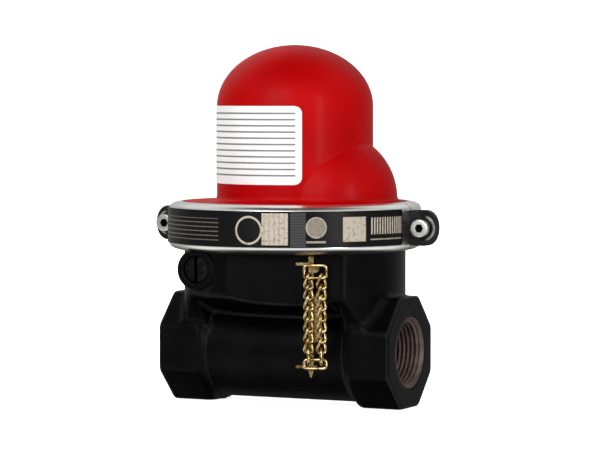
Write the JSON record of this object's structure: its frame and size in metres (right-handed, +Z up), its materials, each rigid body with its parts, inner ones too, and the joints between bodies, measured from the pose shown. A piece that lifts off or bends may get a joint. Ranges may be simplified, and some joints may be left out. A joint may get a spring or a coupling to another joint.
{
  "type": "earthquake shutoff valve",
  "caption": "Earthquake shutoff valve for a threaded gas pipe: cast body with eight-sided ends, red domed cap, band clamp, ball-tripped flapper and reset shaft.",
  "frame": {"origin": "on the ground plane under the middle of the body, below the dome's axis", "axes": "+X along the pipe towards the inlet, +Y towards the back, +Z up along the dome's axis"},
  "size_m": [0.1252, 0.1025, 0.1448],
  "materials": {
    "cast_body": "black painted sand casting, satin",
    "red_cap": "glossy red enamel on a casting",
    "clamp_band": "bright rolled stainless strip, lugs blackened",
    "black_plate": "black anodised sheet with bare printed fields",
    "zinc_steel": "zinc plated",
    "blackened_steel": "black oxide on turned and stamped steel",
    "ball": "ground and polished",
    "valve_brass": "turned",
    "chain_brass": "drawn wire and stamped sheet, lightly tarnished",
    "seals": "matte moulded nitrile"
  },
  "bodies": {
    "valve_body": {"body_casting": "cast_body", "seat_ring": "valve_brass", "dome_cap": "red_cap", "cap_gasket": "seals", "carrier_plate": "zinc_steel", "pedestal": "zinc_steel", "pedestal_nut": "zinc_steel", "clamp_front_half": "clamp_band", "clamp_rear_half": "clamp_band", "nameplate_strip": "black_plate", "clamp_screw_left": "zinc_steel", "clamp_screw_right": "zinc_steel", "clamp_washer_left": "blackened_steel", "clamp_washer_right": "blackened_steel", "clamp_nut_left": "zinc_steel", "clamp_nut_right": "zinc_steel", "shaft_front_bushing": "valve_brass", "shaft_rear_bushing": "valve_brass", "shaft_o_ring": "seals", "trip_spring": "zinc_steel", "chain_anchor": "chain_brass"},
    "flapper": {"reset_shaft": "blackened_steel", "flapper_arm": "valve_brass", "flapper_disc": "valve_brass", "flapper_seal": "seals", "flapper_screw": "zinc_steel", "seal_retainer": "valve_brass", "trip_ring": "zinc_steel"},
    "ball": {"steel_ball": "ball"},
    "chain": {"chain_bail": "chain_brass", "chain_end_ring": "chain_brass", "reset_key": "chain_brass", "chain_link_left_01": "chain_brass", "chain_link_left_02": "chain_brass", "chain_link_left_03": "chain_brass", "chain_link_left_04": "chain_brass", "chain_link_left_05": "chain_brass", "chain_link_left_06": "chain_brass", "chain_link_left_07": "chain_brass", "chain_link_left_08": "chain_brass", "chain_link_right_01": "chain_brass", "chain_link_right_02": "chain_brass", "chain_link_right_03": "chain_brass", "chain_link_right_04": "chain_brass", "chain_link_right_05": "chain_brass", "chain_link_right_06": "chain_brass", "chain_link_right_07": "chain_brass", "chain_link_right_08": "chain_brass"}
  },
  "joints": [
    {"name": "flapper_turn", "type": "hinge", "parent": "valve_body", "child": "flapper", "pos_m": [-0.0235, 0, 0.0556], "axis": [0, 1, 0], "range_deg": [0, 15], "stiffness_Nm_per_rad": 0.014, "springref_deg": -57.3},
    {"name": "ball_roll", "type": "hinge", "parent": "valve_body", "child": "ball", "pos_m": [0.004, 0, 0.1], "axis": [0, 1, 0], "range_deg": [0, 100]},
    {"name": "chain_swing", "type": "hinge", "parent": "valve_body", "child": "chain", "pos_m": [0.02583, -0.03578, 0.0567], "axis": [0.3338, -0.9426, 0], "range_deg": [-20, 20]}
  ]
}
